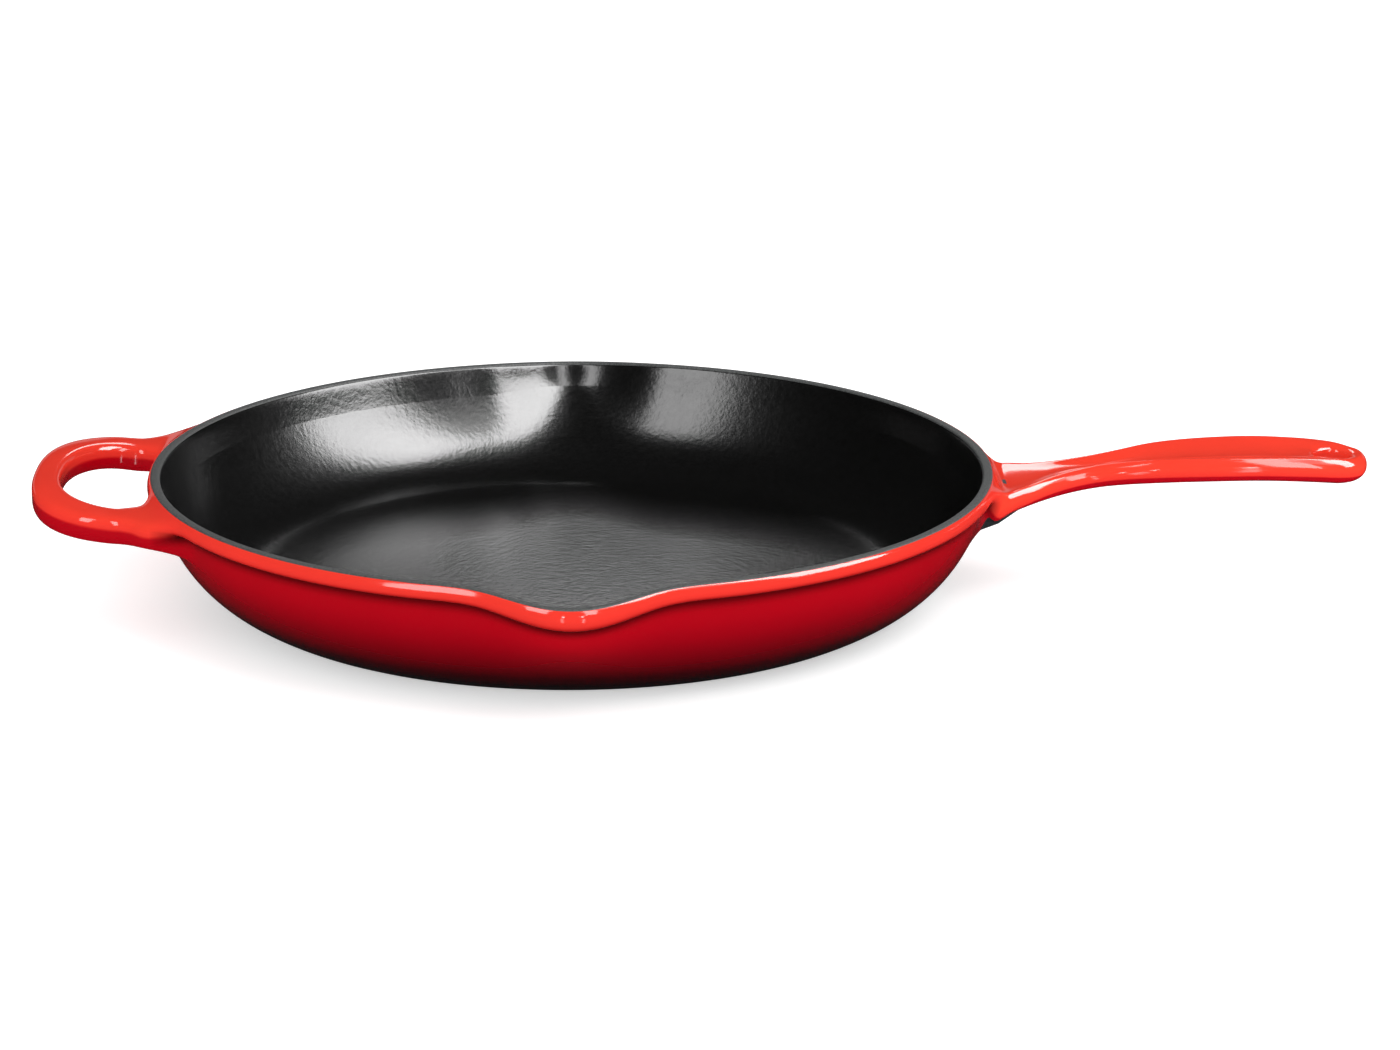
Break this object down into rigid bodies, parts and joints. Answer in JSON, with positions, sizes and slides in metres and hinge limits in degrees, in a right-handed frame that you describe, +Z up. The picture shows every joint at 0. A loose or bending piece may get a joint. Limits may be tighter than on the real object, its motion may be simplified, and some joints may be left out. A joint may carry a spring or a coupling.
{
  "type": "enamelled cast iron skillet",
  "caption": "Round shallow skillet with sloping sides, opposed pour spouts, a long handle with a hanging eye and a loop helper handle.",
  "frame": {"origin": "centre of the flat underside, on the surface that the pan stands on", "axes": "+X along the long handle, +Z up, the pour spouts at +Y and -Y and the loop handle at -X"},
  "size_m": [0.4875, 0.3352, 0.0513],
  "materials": {
    "iron": "grey sand-cast iron, hidden under the enamel",
    "red_enamel": "glossy red vitreous enamel, darker towards the foot",
    "black_enamel": "satin black vitreous enamel with a fine orange-peel surface",
    "grey_enamel": "matt dark grey ground-coat enamel with a sandy surface"
  },
  "bodies": {
    "root": {"pan_casting": "iron", "long_handle_casting": "iron", "helper_handle_casting": "iron", "outside_enamel": "red_enamel", "long_handle_enamel": "red_enamel", "helper_handle_enamel": "red_enamel", "cooking_surface_enamel": "black_enamel", "rim_enamel": "grey_enamel", "base_enamel": "red_enamel"}
  },
  "joints": []
}
